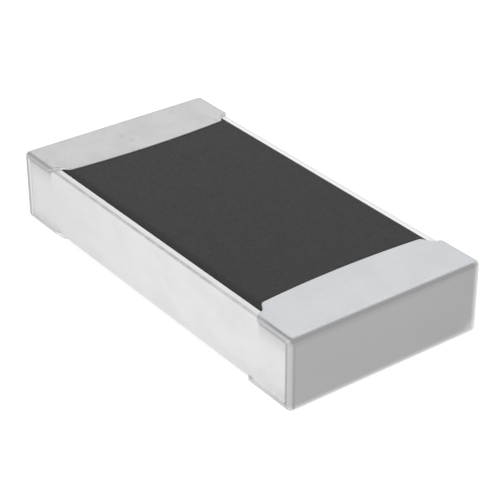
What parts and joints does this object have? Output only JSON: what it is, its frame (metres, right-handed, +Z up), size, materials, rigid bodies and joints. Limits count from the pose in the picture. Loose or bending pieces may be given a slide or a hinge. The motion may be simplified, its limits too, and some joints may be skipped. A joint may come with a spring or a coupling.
{
  "type": "chip resistor",
  "caption": "Flat surface-mount thick-film resistor: white ceramic block, dark grey coat on top, and matt tin terminations that wrap both ends above and below.",
  "frame": {"origin": "middle of the footprint on the board side, level with the flat undersides of the two bottom tabs", "axes": "+X along the length from the left to the right termination, +Y across the width, +Z up from the board towards the coated face"},
  "size_m": [0.0032, 0.0016, 0.0005],
  "materials": {
    "alumina": "fired white alumina, matt, fine grain",
    "ruthenium_film": "fired resistor film, near black, satin",
    "glaze": "thin dark green fired glass",
    "coat_epoxy": "dark grey printed epoxy, matt with faint specks",
    "silver_print": "fired silver print, matt",
    "end_metal": "thin conductive metal, satin",
    "nickel": "plated nickel, satin",
    "matt_tin": "plated matt tin, satin with a faint mottle"
  },
  "bodies": {
    "root": {"ceramic_substrate": "alumina", "resistor_film": "ruthenium_film", "inner_glass_coat": "glaze", "outer_coat": "coat_epoxy", "top_electrode_right": "silver_print", "top_electrode_left": "silver_print", "bottom_electrode_right": "silver_print", "bottom_electrode_left": "silver_print", "end_conductor_right": "end_metal", "end_conductor_left": "end_metal", "nickel_barrier_right": "nickel", "nickel_barrier_left": "nickel", "tin_plating_right": "matt_tin", "tin_plating_left": "matt_tin"}
  },
  "joints": []
}
